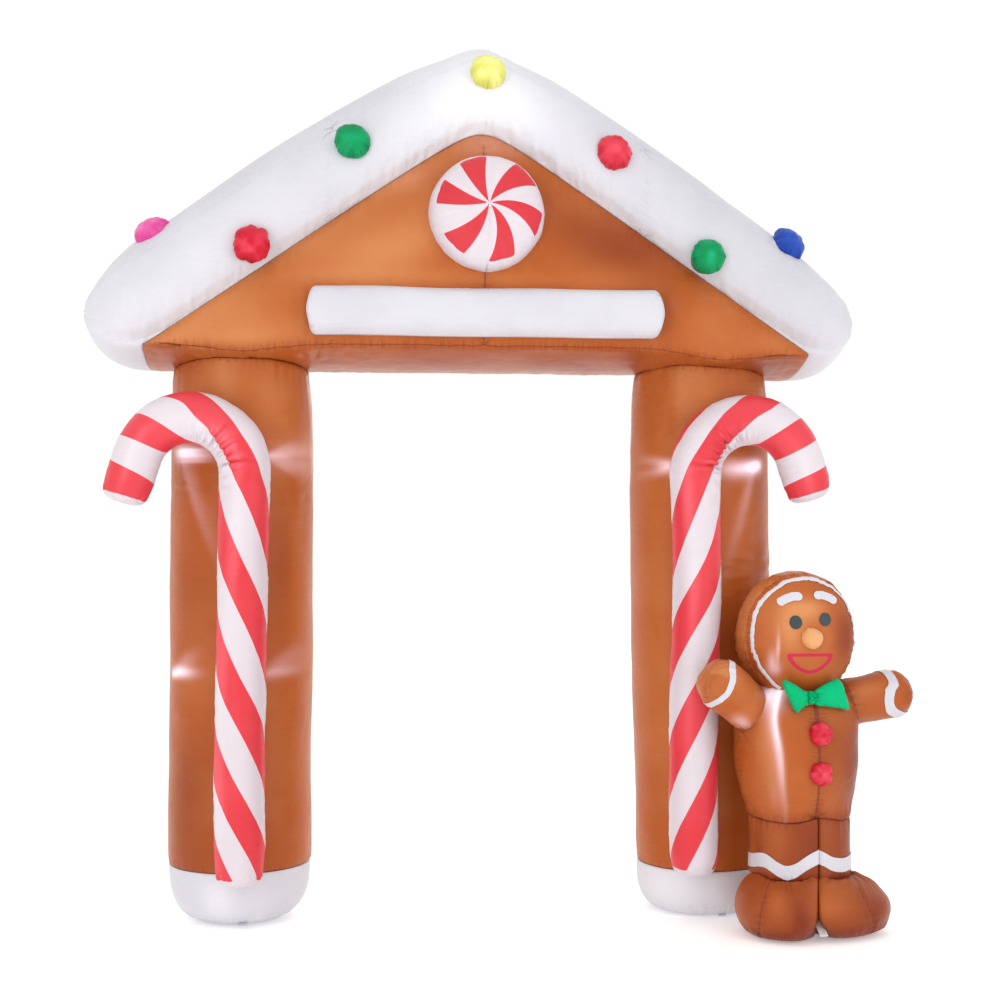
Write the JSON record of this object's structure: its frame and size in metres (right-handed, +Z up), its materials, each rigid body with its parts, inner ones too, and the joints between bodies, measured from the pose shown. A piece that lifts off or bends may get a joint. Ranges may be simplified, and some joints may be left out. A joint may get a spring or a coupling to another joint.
{
  "type": "inflatable arch",
  "caption": "Walk-through inflatable house arch of satin cloth: round columns, gabled beam, padded white roof, candy canes, sweets and a biscuit figure.",
  "frame": {"origin": "middle of the whole object's box, on the floor", "axes": "+Z up, the height; +X to the right as seen from the front; the front with the panel and the figure faces -Y"},
  "size_m": [2.5261, 0.8647, 2.7303],
  "materials": {
    "brown_cloth": "satin woven polyester, lit from inside",
    "white_cloth": "satin woven polyester",
    "candy_stripe_cloth": "satin woven polyester in red and white",
    "red_cloth": "satin woven polyester",
    "green_cloth": "satin woven polyester",
    "yellow_cloth": "satin woven polyester",
    "pink_cloth": "satin woven polyester",
    "blue_cloth": "satin woven polyester",
    "bow_green_cloth": "satin woven polyester",
    "black_cloth": "matt woven polyester",
    "white_webbing": "flat woven webbing"
  },
  "bodies": {
    "root": {"gable": "brown_cloth", "column_left": "brown_cloth", "column_right": "brown_cloth", "figure_body": "brown_cloth", "figure_head": "brown_cloth", "arm_left": "brown_cloth", "arm_right": "brown_cloth", "leg_left": "brown_cloth", "leg_right": "brown_cloth", "foot_left": "brown_cloth", "foot_right": "brown_cloth", "nose": "brown_cloth", "roof": "white_cloth", "base_left": "white_cloth", "base_right": "white_cloth", "sign": "white_cloth", "icing_head": "white_cloth", "icing_arm_left": "white_cloth", "icing_arm_right": "white_cloth", "icing_leg_left": "white_cloth", "icing_leg_right": "white_cloth", "brow_left": "white_cloth", "brow_right": "white_cloth", "cane_left": "candy_stripe_cloth", "cane_right": "candy_stripe_cloth", "peppermint": "candy_stripe_cloth", "gumdrop_red_left": "red_cloth", "gumdrop_red_right": "red_cloth", "button_upper": "red_cloth", "button_lower": "red_cloth", "gumdrop_green_left": "green_cloth", "gumdrop_green_right": "green_cloth", "gumdrop_yellow": "yellow_cloth", "gumdrop_pink": "pink_cloth", "gumdrop_blue": "blue_cloth", "bow_wing_left": "bow_green_cloth", "bow_wing_right": "bow_green_cloth", "bow_knot": "bow_green_cloth", "eye_left": "black_cloth", "eye_right": "black_cloth", "tether_left": "white_webbing", "tether_right": "white_webbing", "tether_figure": "white_webbing"}
  },
  "joints": []
}
